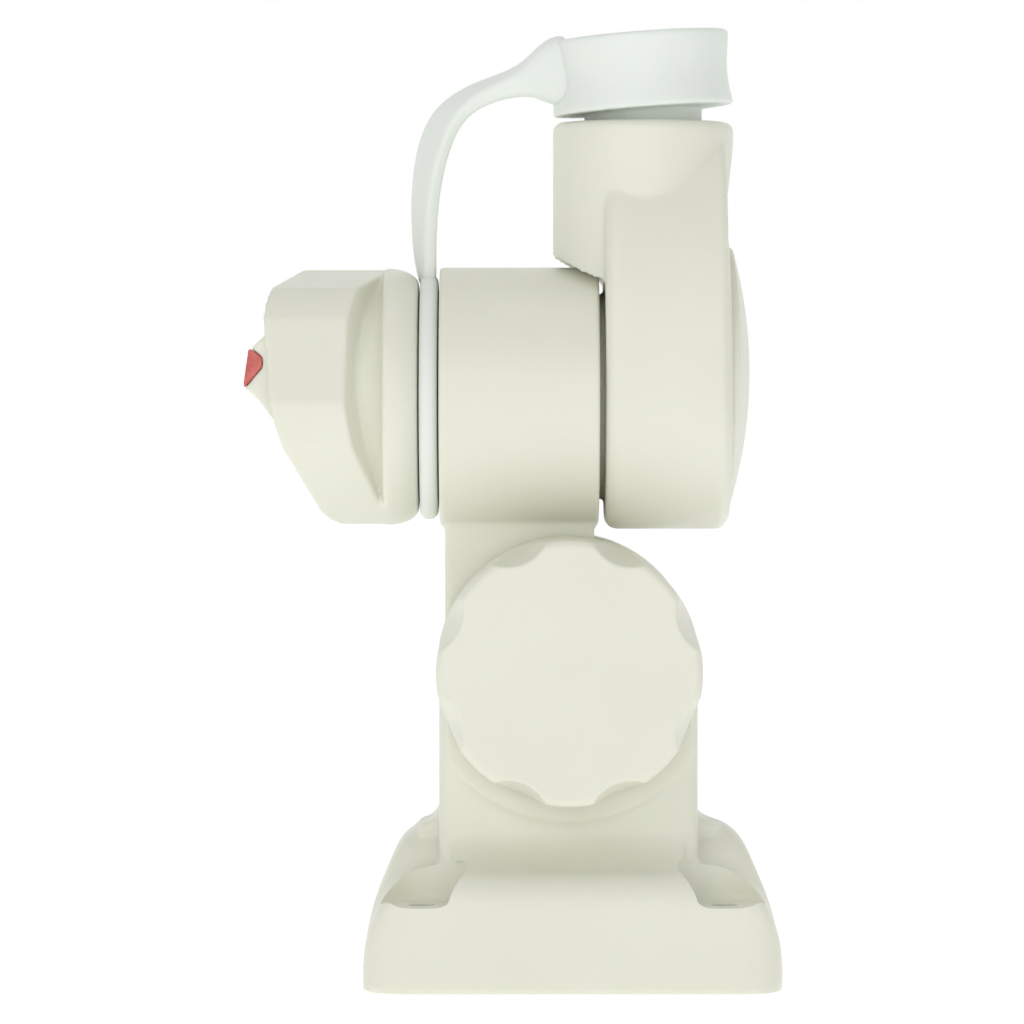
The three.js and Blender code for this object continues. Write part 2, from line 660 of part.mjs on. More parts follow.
function makeCover() {
  const from = coverSeat + GAP;
  const reach = headRise;
  const profile = [[0, from], [reach, from]];
  const rings = 10;
  for (let i = 0; i <= rings; i++) {
    const radius = reach * (1 - i / rings);
    const drop = COVER_DOME_RADIUS - Math.sqrt(COVER_DOME_RADIUS ** 2 - radius ** 2);
    profile.push([radius, Math.max(coverTop - drop, from)]);
  }
  return turned('x', profile, 0, swivelHeight + COVER_PEAK_RISE, 32)
    .intersect(slab('x', coverOutline(GAP), from, coverTop + 1, 14))
    .subtract(slab('x', coverOutline(GAP + COVER_WALL), from - 1, rimFace - COVER_WALL / 2, 10));
}

// ---- Clamp handle

// Everything beyond a plane parallel to the handle's sloping face, on its +X or -X side
function beyondSlope(faceX, side, slopeZ) {
  const far = 3 * handleRadius;
  const geometry = new THREE.BoxGeometry(far, 2 * far, 2 * far);
  geometry.translate(side * far / 2, 0, 0);
  const place = geometry.attributes.position;
  for (let i = 0; i < place.count; i++) {
    const lean = HANDLE_SLOPE_Y * place.getY(i) + slopeZ * place.getZ(i);
    place.setX(i, place.getX(i) + lean);
  }
  geometry.translate(faceX, 0, swivelHeight);
  return solid(geometry);
}

function pointerOutline() {
  const z = pointerHeight;
  const side = HANDLE_FACE_X + HANDLE_SLOPE_Y * POINTER_FROM_Y;
  return outlineOf([
    [HANDLE_FACE_X, z + POINTER_FOOT],
    [HANDLE_FACE_X, z + POINTER_TOP],
    [side, z + POINTER_TOP, 1],
    [pointerTip + 1, z + POINTER_BROW, 0.5],
    [pointerTip, z + POINTER_TIP_DROP, 0.5],
    [side - 1, z + POINTER_CHIN, 1],
    [side, z + POINTER_FOOT],
  ]);
}

function lensOutline(inset) {
  const z = pointerHeight;
  const front = pointerTip - POINTER_RISE;
  const top = z + POINTER_BROW - inset;
  const back = pointerTip + LENS_DEPTH - inset;
  const low = z + POINTER_TIP_DROP + 1.5 * inset;
  return outlineOf([
    [front, top],
    [pointerTip + LENS_TOP_DEPTH - inset / 2, top],
    [back, top - LENS_SLANT],
    [back, top - 2 * LENS_SLANT + inset],
    [pointerTip + GAP, low],
    [front, low],
  ]);
}

function makeNose() {
  return slab('y', pointerOutline(), POINTER_FROM_Y, POINTER_TO_Y)
    .subtract(slab('y', lensOutline(0), POINTER_FROM_Y - 1, POINTER_TO_Y - LENS_BACK_WALL));
}

function makeLens() {
  return slab('y', pointerOutline(), POINTER_FROM_Y, POINTER_TO_Y)
    .intersect(slab('y', lensOutline(GAP), POINTER_FROM_Y, POINTER_TO_Y - LENS_BACK_WALL - GAP));
}

function gripOutline() {
  const corners = [];
  for (let i = 0; i < 6; i++) {
    const turn = degrees(GRIP_TURN + i * 60);
    const y = -gripRadius * Math.cos(turn);
    corners.push([y, swivelHeight + gripRadius * Math.sin(turn)]);
  }
  return outlineOf(corners);
}

function makeHandle() {
  const round = HANDLE_DISC_ROUND;
  const far = HANDLE_FACE_X - handleRadius;
  // The disc and the recess's floor behind it, in one turned shape
  const core = turned('x', [
    [0, far],
    [hubRadius, far],
    [hubRadius, discOuter - HANDLE_HUB_INSET],
    [hubRadius + HANDLE_HUB_FLARE, discOuter - HANDLE_HUB_FLARE],
    [handleRadius - HANDLE_HUB_FLARE, discOuter],
    [handleRadius, discOuter + HANDLE_HUB_FLARE],
    [handleRadius, discInner - round],
    [handleRadius - round * EDGE_CUT, discInner - round * EDGE_CUT],
    [handleRadius - round, discInner],
    [0, discInner],
  ], 0, swivelHeight, 36);
  const grip = slab('x', gripOutline(), far, discOuter + HANDLE_HUB_FLARE)
    .intersect(rod('x', handleRadius, far, 0, 0, swivelHeight, 36));
  const recess = beyondSlope(HANDLE_FACE_X + GRIP_THICKNESS, 1, GRIP_BACK_SLOPE_Z)
    .intersect(block([far, -gripRadius - 1, 0], [0, gripRadius, 2 * swivelHeight]));
  const insertEnd = handlePocket - HANDLE_INSERT_LENGTH - 2 * GAP;
  return grip
    .subtract(recess)
    .add(core)
    .subtract(beyondSlope(HANDLE_FACE_X, -1, HANDLE_SLOPE_Z))
    .add(makeNose())
    .subtract(rod('x', THRUST_RADIUS + GAP, handlePocket, 0, 0, swivelHeight))
    .subtract(slab('x', hexagon(INSERT_ACROSS + 2 * GAP, 0, swivelHeight), insertEnd, 0));
}

function makeHandleInsert() {
  const to = handlePocket - GAP;
  const from = to - HANDLE_INSERT_LENGTH;
  return slab('x', hexagon(INSERT_ACROSS, 0, swivelHeight), from, to)
    .subtract(rod('x', hingeBore, from - 1, to + 1, 0, swivelHeight, 16));
}

function makeThrustWasher() {
  const from = thrustFace - THRUST_THICKNESS;
  return rod('x', THRUST_RADIUS, from, thrustFace, 0, swivelHeight)
    .subtract(rod('x', hingeBore, from - 1, thrustFace + 1, 0, swivelHeight, 16));
}

// ---- Plug, strap and ring

function makeTetherRing() {
  const edge = TETHER_RING_THICKNESS / 3;
  return turned('x', [
    [0, tetherLeft],
    [tetherRadius - edge, tetherLeft],
    [tetherRadius, tetherLeft + edge],
    [tetherRadius, tetherRight - edge],
    [tetherRadius - edge, tetherRight],
    [0, tetherRight],
  ], 0, swivelHeight, 36)
    .subtract(rod('x', HUB_RADIUS + RUNNING_GAP, tetherLeft - 1, tetherRight + 1, 0, swivelHeight));
}

function makeStrap() {
  const foot = swivelHeight + tetherRadius + GAP;
  const x = (tetherLeft + tetherRight) / 2;
  const capMiddle = capBottom + CAP_HEIGHT / 2;
  const capLeft = socketX - capRadius - 1;
  const route = new THREE.CatmullRomCurve3([
    new THREE.Vector3(x, 0, foot),
    ...STRAP_RISES.map(([right, up]) => new THREE.Vector3(x + right, 0, foot + up)),
    new THREE.Vector3(x + STRAP_BEND_RIGHT, 0, capMiddle - STRAP_SLOPE_DROP),
    new THREE.Vector3(capLeft - STRAP_RUN, 0, capMiddle - STRAP_SLOPE_DROP / 2),
    new THREE.Vector3(capLeft, 0, capMiddle - STRAP_END_DROP),
  ]);
  const section = rectangle(STRAP_WIDTH / 2, STRAP_THICKNESS / 2, STRAP_THICKNESS / 4);
  return solid(new THREE.ExtrudeGeometry(section, {
    steps: 16,
    curveSegments: 1,
    bevelEnabled: false,
    extrudePath: route,
  }));
}

function makePlug() {
  const neckBottom = socketTop - NECK_DEPTH;
  const neckTop = capBottom + CAP_HEIGHT / 2;
  const profile = [
    [0, 0],
    [capRadius, 0],
    [capRadius - CAP_WAIST, CAP_HEIGHT * CAP_WAIST_SHARE],
    [capRadius, CAP_HEIGHT - CAP_EDGE],
    [capRadius - CAP_EDGE, CAP_HEIGHT],
    [0, CAP_HEIGHT],
  ];
  const cap = new THREE.LatheGeometry(profile.map(([radius, up]) => new THREE.Vector2(radius, up)), 40);
  cap.rotateX(Math.PI / 2);
  cap.rotateY(-degrees(CAP_TILT));
  cap.translate(socketX, 0, capBottom);
  const neck = turned('z', [
    [0, neckBottom],
    [plugNeckRadius - NECK_LEAD, neckBottom],
    [plugNeckRadius, neckBottom + NECK_LEAD],
    [plugNeckRadius, neckTop],
    [0, neckTop],
  ], socketX, 0, 28);
  return solid(cap).add(neck);
}

// ---- Materials

function plastic(color, roughness) {
  return new THREE.MeshStandardMaterial({ color, roughness, metalness: 0 });
}

function metal(color, roughness) {
  return new THREE.MeshStandardMaterial({ color, roughness, metalness: 1 });
}

const creamPlastic = () => plastic(0xe6e8da, 0.42);
const whiteRubber = () => plastic(0xeaf1ea, 0.5);
const redPlastic = () => plastic(0xcf5f55, 0.35);
const acetal = () => plastic(0xd9d9d0, 0.4);
const stainlessSteel = () => metal(0xb8babc, 0.3);
const brass = () => metal(0xb8954a, 0.35);

// ---- Assembly

const group = new THREE.Group();

function addPart(name, manifold, material) {
  const mesh = new THREE.Mesh(body(manifold), material);
  mesh.name = name;
  group.add(mesh);
}

addPart('pedestal', makePedestal(), creamPlastic());
addPart('hinge_bolt', makeHingeBolt(), stainlessSteel());
addPart('friction_ring_front', makeFrictionRing(-1), acetal());
addPart('friction_ring_rear', makeFrictionRing(1), acetal());
addPart('knob_washer', makeKnobWasher(), stainlessSteel());
addPart('tilt_knob', makeTiltKnob(), creamPlastic());
addPart('knob_insert', makeKnobInsert(), brass());
addPart('swivel_arm', makeArm(), creamPlastic());
addPart('spindle_bush', makeBush(), acetal());
addPart('clutch_ring_fixed', makeClutchRing(fixedRingBack, 1, 0), acetal());
addPart('clutch_ring_moving', makeClutchRing(movingRingBack, -1, Math.PI / CLUTCH_TEETH), acetal());
addPart('clutch_spring', makeSpring(), stainlessSteel());
addPart('socket_head', makeHead(), creamPlastic());
addPart('spindle', makeSpindle(), stainlessSteel());
addPart('head_cover', makeCover(), creamPlastic());
addPart('clamp_handle', makeHandle(), creamPlastic());
addPart('handle_insert', makeHandleInsert(), brass());
addPart('thrust_washer', makeThrustWasher(), stainlessSteel());
addPart('pointer_lens', makeLens(), redPlastic());
addPart('tether_ring', makeTetherRing(), whiteRubber());
addPart('tether_strap', makeStrap(), whiteRubber());
addPart('socket_plug', makePlug(), whiteRubber());

export default group;
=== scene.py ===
import json
import math

import bpy
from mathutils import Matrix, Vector


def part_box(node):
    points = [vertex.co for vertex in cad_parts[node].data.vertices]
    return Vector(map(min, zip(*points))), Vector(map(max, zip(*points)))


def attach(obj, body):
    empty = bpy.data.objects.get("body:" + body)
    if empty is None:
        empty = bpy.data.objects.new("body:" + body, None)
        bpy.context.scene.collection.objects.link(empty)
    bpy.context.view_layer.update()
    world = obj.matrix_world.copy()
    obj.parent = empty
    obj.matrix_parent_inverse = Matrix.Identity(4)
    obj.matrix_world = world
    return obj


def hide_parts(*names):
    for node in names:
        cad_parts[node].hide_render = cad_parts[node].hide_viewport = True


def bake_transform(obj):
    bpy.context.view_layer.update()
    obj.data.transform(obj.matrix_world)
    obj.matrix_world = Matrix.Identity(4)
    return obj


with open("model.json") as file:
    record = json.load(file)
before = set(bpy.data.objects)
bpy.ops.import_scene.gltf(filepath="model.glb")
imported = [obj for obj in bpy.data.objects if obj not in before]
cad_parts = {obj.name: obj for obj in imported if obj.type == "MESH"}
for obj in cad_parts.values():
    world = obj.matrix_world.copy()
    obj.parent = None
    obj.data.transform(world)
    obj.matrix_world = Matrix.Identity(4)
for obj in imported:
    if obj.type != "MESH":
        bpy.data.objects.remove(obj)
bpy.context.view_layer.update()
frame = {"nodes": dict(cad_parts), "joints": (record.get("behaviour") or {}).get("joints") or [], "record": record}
nodes = frame["nodes"]
joints = {j["name"]: j for j in frame["joints"]}
mm = 0.001
hingeZ = joints["arm_tilt"]["pos_m"][2]
swivelZ = joints["head_swivel"]["pos_m"][2]
far = 0.1  # past the object from its middle, for what cuts right through
aboveAll = 0.2
hair = 1e-6  # for picking what lies on a face
overlap = 0.001  # how deep joined pieces reach into each other
print("frame loaded,", len(nodes), "nodes")


# ---- tools

def pick(obj):
    if bpy.context.object and bpy.context.object.mode != "OBJECT":
        bpy.ops.object.mode_set(mode="OBJECT")
    bpy.ops.object.select_all(action="DESELECT")
    obj.select_set(True)
    bpy.context.view_layer.objects.active = obj


def settle(obj, name):
    # name it and put its place into the mesh
    pick(obj)
    obj.name = name
    obj.data.name = name
    bpy.ops.object.transform_apply(location=True, rotation=True, scale=True)
    return obj


turnTo = {"x": (0, math.pi / 2, 0), "y": (-math.pi / 2, 0, 0), "z": (0, 0, 0)}


def placeOn(axis, along, u=0.0, v=0.0):
    # a point that far along an axis, at (u, v) across it
    if axis == "x":
        return Vector((along, u, v))
    if axis == "y":
        return Vector((u, along, v))
    return Vector((u, v, along))


def rod(axis, radius, start, end, u=0.0, v=0.0, sides=128):
    bpy.ops.mesh.primitive_cylinder_add(vertices=sides, radius=radius, depth=end - start,
                                        location=placeOn(axis, (start + end) / 2, u, v),
                                        rotation=turnTo[axis])
    return settle(bpy.context.object, "rod")


def box(low, high):
    middle = [(a + b) / 2 for a, b in zip(low, high)]
    size = [b - a for a, b in zip(low, high)]
    bpy.ops.mesh.primitive_cube_add(size=1, location=middle, scale=size)
    return settle(bpy.context.object, "box")


def slab(axis, outline, start, end):
    # a ring of points given across the axis, filled and pushed out along it
    bpy.ops.mesh.primitive_circle_add(vertices=len(outline), radius=1)
    obj = bpy.context.object
    for vert, (u, v) in zip(obj.data.vertices, outline):
        vert.co = placeOn(axis, start, u, v)
    bpy.ops.object.mode_set(mode="EDIT")
    bpy.ops.mesh.select_all(action="SELECT")
    bpy.ops.mesh.edge_face_add()
    bpy.ops.mesh.extrude_region_move(
        TRANSFORM_OT_translate={"value": placeOn(axis, end - start)})
    bpy.ops.mesh.select_all(action="SELECT")
    bpy.ops.mesh.normals_make_consistent(inside=False)
    bpy.ops.object.mode_set(mode="OBJECT")
    return settle(obj, "slab")


def bevelEdges(obj, offset, wanted, segments=6):
    # rounds the edges whose two ends both pass the test
    pick(obj)
    bpy.ops.object.mode_set(mode="EDIT")
    bpy.ops.mesh.select_all(action="DESELECT")
    bpy.ops.object.mode_set(mode="OBJECT")
    mesh = obj.data
    for edge in mesh.edges:
        edge.select = all(wanted(mesh.vertices[i].co) for i in edge.vertices)
    bpy.ops.object.mode_set(mode="EDIT")
    bpy.ops.mesh.select_mode(type="EDGE")
    bpy.ops.mesh.bevel(offset=offset, segments=segments, profile=0.5, clamp_overlap=True)
    bpy.ops.object.mode_set(mode="OBJECT")
    return obj


def boolean(obj, other, operation):
    pick(obj)
    mod = obj.modifiers.new("boolean", "BOOLEAN")
    mod.operation = operation
    mod.solver = "MANIFOLD"
    mod.object = other
    bpy.ops.object.modifier_apply(modifier=mod.name)
    bpy.data.objects.remove(other)
    return obj


def cut(obj, *others):
    for other in others:
        boolean(obj, other, "DIFFERENCE")
    return obj


def join(obj, *others):
    for other in others:
        boolean(obj, other, "UNION")
    return obj


def keep(obj, *others):
    for other in others:
        boolean(obj, other, "INTERSECT")
    return obj


def soften(obj, voxel, passes, factor=0.5):
    # one even skin with every edge eased, as it leaves a mould
    pick(obj)
    remesh = obj.modifiers.new("skin", "REMESH")
    remesh.mode = "VOXEL"
    remesh.voxel_size = voxel
    bpy.ops.object.modifier_apply(modifier=remesh.name)
    smooth = obj.modifiers.new("ease", "SMOOTH")
    smooth.factor = factor
    smooth.iterations = passes
    bpy.ops.object.modifier_apply(modifier=smooth.name)
    bpy.ops.object.shade_smooth()
    return obj


def arc(cx, cy, radius, start, end, steps, rise=None):
    # points on a round or oval stretch, angles in degrees
    rise = radius if rise is None else rise
    points = []
    for i in range(steps + 1):
        turn = math.radians(start + (end - start) * i / steps)
        points.append((cx + radius * math.cos(turn), cy + rise * math.sin(turn)))
    return points


def hexagon(acrossFlats, v):
    return arc(0, v, acrossFlats / math.sqrt(3) * mm, 0, 300, 5)


def curve(a, b, c, steps=12):
    # from a to c, pulled towards b, without its last point
    points = []
    for i in range(steps):
        t = i / steps
        points.append(tuple((1 - t) ** 2 * p + 2 * t * (1 - t) * q + t * t * r
                            for p, q, r in zip(a, b, c)))
    return points


def roundedOutline(corners, steps=8):
    # corners are (x, y, how far the rounding reaches)
    points = []
    for i, (x, y, reach) in enumerate(corners):
        here = Vector((x, y))
        before = Vector(corners[i - 1][:2])
        after = Vector(corners[(i + 1) % len(corners)][:2])
        if reach == 0:
            points.append((x, y))
            continue
        enter = here + (before - here).normalized() * reach
        leave = here + (after - here).normalized() * reach
        points += curve(enter, here, leave, steps) + [tuple(leave)]
    return points


def egg(radius, rise, steps=96):
    # round below the swivel and oval above it
    lower = arc(0, swivelZ, radius, 180, 360, steps)[:-1]
    upper = arc(0, swivelZ, radius, 0, 180, steps, rise)[:-1]
    return lower + upper


def finishPiece(obj, name, body, slot, material, *replaced):
    obj = settle(obj, name)
    obj.data.materials.clear()
    obj.data.materials.append(material)
    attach(obj, body)
    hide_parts(*replaced)
    print("made", name, len(obj.data.polygons), "faces")
    return obj


# ---- camera, light and floor

view = {"eye": (-11.7, -1113, 123.2), "look": (-11.7, 0, 97.6), "lens": 186.3}


def makeCamera():
    bpy.ops.object.camera_add(location=[v * mm for v in view["eye"]])
    cam = bpy.context.object
    direction = Vector(view["look"]) - Vector(view["eye"])
    cam.rotation_euler = direction.to_track_quat("-Z", "Y").to_euler()
    cam.data.lens = view["lens"]
    cam.data.sensor_width = 36
    cam.data.clip_start = 0.01
    cam.data.clip_end = 50
    bpy.context.scene.camera = cam


lighting = {"world": 0.46, "key": 2.4, "front": 5.7, "top": 1.5, "right": 0.25, "floorGlow": 0.4}


def addLight(name, power, size, place, target=(0, 0, 0.1)):
    bpy.ops.object.light_add(type="AREA", location=place)
    lamp = bpy.context.object
    lamp.name = name
    lamp.data.energy = power
    lamp.data.size = size
    lamp.rotation_euler = (Vector(target) - Vector(place)).to_track_quat("-Z", "Y").to_euler()


def makeLights():
    addLight("keyLight", lighting["key"], 0.7, (-0.62, -1.1, 0.62))
    addLight("frontLight", lighting["front"], 1.3, (0.15, -1.9, 0.35))
    addLight("topLight", lighting["top"], 0.8, (0.0, -0.1, 1.3))
    addLight("rightLight", lighting["right"], 0.8, (1.1, -0.3, 0.45))
    bpy.context.scene.view_settings.view_transform = "Standard"  # plain product colours
    world = bpy.data.worlds.new("studio")
    bpy.context.scene.world = world
    world.use_nodes = True
    world.node_tree.nodes["Background"].inputs["Color"].default_value = (1, 1, 1, 1)
    world.node_tree.nodes["Background"].inputs["Strength"].default_value = lighting["world"]


floorSizes = {"half": 6.0, "back": 2.2, "bend": 1.2, "height": 5.0, "steps": 24}


def makeFloor():
    s = floorSizes
    bpy.ops.mesh.primitive_plane_add(size=2 * s["half"], location=(0, s["back"] - s["half"], 0))
    floor = settle(bpy.context.object, "studioFloor")
    bpy.ops.object.mode_set(mode="EDIT")
    bpy.ops.mesh.select_all(action="DESELECT")
    bpy.ops.object.mode_set(mode="OBJECT")
    for edge in floor.data.edges:
        edge.select = all(floor.data.vertices[i].co.y > s["back"] - 0.01 for i in edge.vertices)
    bpy.ops.object.mode_set(mode="EDIT")
    bpy.ops.mesh.select_mode(type="EDGE")
    for i in range(s["steps"]):
        turn = math.radians(90 * (i + 0.5) / s["steps"])
        step = s["bend"] * math.pi / 2 / s["steps"]
        bpy.ops.mesh.extrude_region_move(TRANSFORM_OT_translate={
            "value": (0, step * math.cos(turn), step * math.sin(turn))})
    bpy.ops.mesh.extrude_region_move(TRANSFORM_OT_translate={"value": (0, 0, s["height"])})
    bpy.ops.object.mode_set(mode="OBJECT")
    bpy.ops.object.shade_smooth()
    mat = bpy.data.materials.new("paleFloor")
    mat.use_nodes = True
    shader = mat.node_tree.nodes["Principled BSDF"]
    shader.inputs["Base Color"].default_value = (0.95, 0.95, 0.95, 1)
    shader.inputs["Roughness"].default_value = 0.95
    shader.inputs["Emission Color"].default_value = (1, 1, 1, 1)
    shader.inputs["Emission Strength"].default_value = lighting["floorGlow"]
    floor.data.materials.append(mat)


makeCamera()
makeLights()
makeFloor()
print("camera, light and floor ready")


# ---- materials

def newMaterial(name):
    mat = bpy.data.materials.new(name)
    mat.use_nodes = True
    return mat, mat.node_tree.nodes, mat.node_tree.links, mat.node_tree.nodes["Principled BSDF"]


def addNoise(tree, coords, scale, detail=3.0, rough=0.5):
    noise = tree.nodes.new("ShaderNodeTexNoise")
    noise.inputs["Scale"].default_value = scale
    noise.inputs["Detail"].default_value = detail
    noise.inputs["Roughness"].default_value = rough
    tree.links.new(coords.outputs["Object"], noise.inputs["Vector"])
    return noise


def addRamp(tree, source, low, high, start=0.3, end=0.7):
    ramp = tree.nodes.new("ShaderNodeValToRGB")
    ramp.color_ramp.elements[0].position = start
    ramp.color_ramp.elements[1].position = end
    ramp.color_ramp.elements[0].color = low
    ramp.color_ramp.elements[1].color = high
    tree.links.new(source, ramp.inputs["Fac"])
    return ramp


def addRange(tree, source, low, high):
    spread = tree.nodes.new("ShaderNodeMapRange")
    spread.inputs["From Min"].default_value = 0.3
    spread.inputs["From Max"].default_value = 0.7
    spread.inputs["To Min"].default_value = low
    spread.inputs["To Max"].default_value = high
    tree.links.new(source, spread.inputs["Value"])
    return spread


def addBump(tree, shader, sources):
    # sources are (height, strength, distance), stacked one on the other
    last = None
    for height, strength, distance in sources:
        bump = tree.nodes.new("ShaderNodeBump")
        bump.inputs["Strength"].default_value = strength
        bump.inputs["Distance"].default_value = distance
        tree.links.new(height, bump.inputs["Height"])
        if last:
            tree.links.new(last.outputs["Normal"], bump.inputs["Normal"])
        last = bump
    tree.links.new(last.outputs["Normal"], shader.inputs["Normal"])


creamLook = {
    "pale": (0.795, 0.803, 0.695, 1), "warm": (0.775, 0.780, 0.662, 1),
    "cloudScale": 28, "grainScale": 2600, "rippleScale": 160,
    "rough": (0.34, 0.44), "grain": 0.05, "ripple": 0.03,
}


def makeCream(name, look=creamLook):
    # satin moulded plastic: faint clouding, sink ripple and a fine spark-eroded grain
    mat, matNodes, links, shader = newMaterial(name)
    tree = mat.node_tree
    coords = matNodes.new("ShaderNodeTexCoord")
    clouds = addNoise(tree, coords, look["cloudScale"], 4)
    grain = addNoise(tree, coords, look["grainScale"], 2)
    ripple = addNoise(tree, coords, look["rippleScale"], 2)
    tone = addRamp(tree, clouds.outputs["Fac"], look["warm"], look["pale"])
    links.new(tone.outputs["Color"], shader.inputs["Base Color"])
    sheen = addRange(tree, ripple.outputs["Fac"], *look["rough"])
    links.new(sheen.outputs["Result"], shader.inputs["Roughness"])
    addBump(tree, shader, [(grain.outputs["Fac"], look["grain"], 0.0001),
                           (ripple.outputs["Fac"], look["ripple"], 0.0004)])
    shader.inputs["Subsurface Weight"].default_value = 0.08
    shader.inputs["Subsurface Radius"].default_value = (0.004, 0.003, 0.0018)
    shader.inputs["Subsurface Scale"].default_value = 1.0
    shader.inputs["Specular IOR Level"].default_value = 0.5
    return mat


rubberLook = {
    "pale": (0.815, 0.862, 0.810, 1), "dull": (0.790, 0.838, 0.785, 1),
    "cloudScale": 40, "grainScale": 1900, "rough": (0.42, 0.55), "grain": 0.07,
}


def makeRubber(name, look=rubberLook):
    # soft white moulding: a little light passes into it
    mat, matNodes, links, shader = newMaterial(name)
    tree = mat.node_tree
    coords = matNodes.new("ShaderNodeTexCoord")
    clouds = addNoise(tree, coords, look["cloudScale"], 3)
    grain = addNoise(tree, coords, look["grainScale"], 2)
    tone = addRamp(tree, clouds.outputs["Fac"], look["dull"], look["pale"])
    links.new(tone.outputs["Color"], shader.inputs["Base Color"])
    sheen = addRange(tree, clouds.outputs["Fac"], *look["rough"])
    links.new(sheen.outputs["Result"], shader.inputs["Roughness"])
    addBump(tree, shader, [(grain.outputs["Fac"], look["grain"], 0.0001)])
    shader.inputs["Subsurface Weight"].default_value = 0.2
    shader.inputs["Subsurface Radius"].default_value = (0.004, 0.004, 0.0035)
    shader.inputs["Subsurface Scale"].default_value = 1.0
    return mat


lensLook = {"bright": (0.68, 0.15, 0.12, 1), "deep": (0.50, 0.07, 0.06, 1), "cloudScale": 420}


def makeLensRed(look=lensLook):
    mat, matNodes, links, shader = newMaterial("lensRed")
    tree = mat.node_tree
    coords = matNodes.new("ShaderNodeTexCoord")
    clouds = addNoise(tree, coords, look["cloudScale"], 2)
    tone = addRamp(tree, clouds.outputs["Fac"], look["deep"], look["bright"])
    links.new(tone.outputs["Color"], shader.inputs["Base Color"])
    shader.inputs["Roughness"].default_value = 0.22
    addBump(tree, shader, [(clouds.outputs["Fac"], 0.04, 0.0002)])
    shader.inputs["Coat Weight"].default_value = 0.3
    return mat


metalLook = {
    "steel": ((0.50, 0.51, 0.52, 1), (0.62, 0.63, 0.64, 1), (0.22, 0.36)),
    "brass": ((0.50, 0.36, 0.13, 1), (0.62, 0.46, 0.18, 1), (0.25, 0.38)),
    "tarnishScale": 240, "lineScale": 3200, "lines": 0.08,
}


def makeMetal(name, kind):
    # turned metal: fine lines around the piece and a faint tarnish
    low, high, rough = metalLook[kind]
    mat, matNodes, links, shader = newMaterial(name)
    tree = mat.node_tree
    coords = matNodes.new("ShaderNodeTexCoord")
    tarnish = addNoise(tree, coords, metalLook["tarnishScale"], 4)
    lines = addNoise(tree, coords, metalLook["lineScale"], 2)
    tone = addRamp(tree, tarnish.outputs["Fac"], low, high)
    links.new(tone.outputs["Color"], shader.inputs["Base Color"])
    sheen = addRange(tree, lines.outputs["Fac"], *rough)
    links.new(sheen.outputs["Result"], shader.inputs["Roughness"])
    addBump(tree, shader, [(lines.outputs["Fac"], metalLook["lines"], 0.0001)])
    shader.inputs["Metallic"].default_value = 1.0
    return mat


acetalLook = {
    "pale": (0.70, 0.70, 0.64, 1), "dull": (0.63, 0.63, 0.57, 1), "cloudScale": 120,
    "rough": (0.3, 0.42), "grain": 0.05,
}


def makeAcetal(look=acetalLook):
    mat, matNodes, links, shader = newMaterial("acetal")
    tree = mat.node_tree
    coords = matNodes.new("ShaderNodeTexCoord")
    clouds = addNoise(tree, coords, look["cloudScale"], 3)
    tone = addRamp(tree, clouds.outputs["Fac"], look["dull"], look["pale"])
    links.new(tone.outputs["Color"], shader.inputs["Base Color"])
    sheen = addRange(tree, clouds.outputs["Fac"], *look["rough"])
    links.new(sheen.outputs["Result"], shader.inputs["Roughness"])
    addBump(tree, shader, [(clouds.outputs["Fac"], look["grain"], 0.0002)])
    return mat


cream = makeCream("creamPlastic")
rubber = makeRubber("whiteRubber")
lensRed = makeLensRed()
steel = makeMetal("stainlessSteel", "steel")
brass = makeMetal("turnedBrass", "brass")
acetal = makeAcetal()
slotLook = {"cream_plastic": cream, "white_rubber": rubber, "red_plastic": lensRed,
            "stainless_steel": steel, "brass": brass, "acetal": acetal}
for part in frame["record"]["subparts"]:
    mesh = nodes[part["node"]].data
    mesh.materials.clear()
    mesh.materials.append(slotLook[part["material_slot"]])
print("materials ready")


# ---- pedestal: foot, column and clevis in one moulding

pedestal = {
    "footCorner": 10, "under": -12,
    "flanks": [(0, 10, 6), (3.8, 18.8, 3.4), (9.9, 24.2, 3.8), (18.2, 25.6, 4)],
    "shoulders": [(0, 12, 8), (7.4, 29.6, 3), (12.7, 33.6, 3)], "ridgeFoot": 14,
    "edgeStart": 16.5, "edgeTop": 22.6, "creaseIn": 4.5, "creaseZ": 24.4, "ridge": 4,
    "hollowZ": 26.4, "columnSweepZ": 32, "flare": 4.5, "flareZ": 32.8, "flareRise": 5,
    "flareDepth": 10, "columnWidth": 53.6, "columnDepth": 40, "columnCorner": 3, "crown": 27.4,
    "bossRadius": 31.5, "bossHeight": 1.2, "bossInset": 1.2,
    "slotHalf": 8.2, "slotFloor": 26.2, "ringSeat": 9.4, "ringRadius": 18.3, "bore": 4.3,
    "boltSeat": 14.0, "boltAcross": 13.6, "screwInX": 12.2, "screwInY": 8,
    "recess": 9.5, "recessTop": 26.4, "recessRound": 1.6, "screwHole": 2.75, "screwSeat": 17.6,
    "footVoxel": 1.2, "footEase": 14, "voxel": 0.66, "ease": 7, "creaseAngle": 32,
}


def sweepOutline(ridge, top, bottom=0.0):
    # the foot seen along X: upright edge, an eased crease, then a hollow sweep up to the ridge
    p = pedestal
    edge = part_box("pedestal")[1].y
    crease = (edge - p["creaseIn"] * mm, p["creaseZ"] * mm)
    right = [(edge, bottom)]
    right += curve((edge, p["edgeStart"] * mm), (edge, p["edgeTop"] * mm), crease)
    right += curve(crease, (ridge + mm, p["hollowZ"] * mm), (ridge, top), 24)
    right += [(ridge, top)]
    return right + [(-y, z) for y, z in reversed(right)]


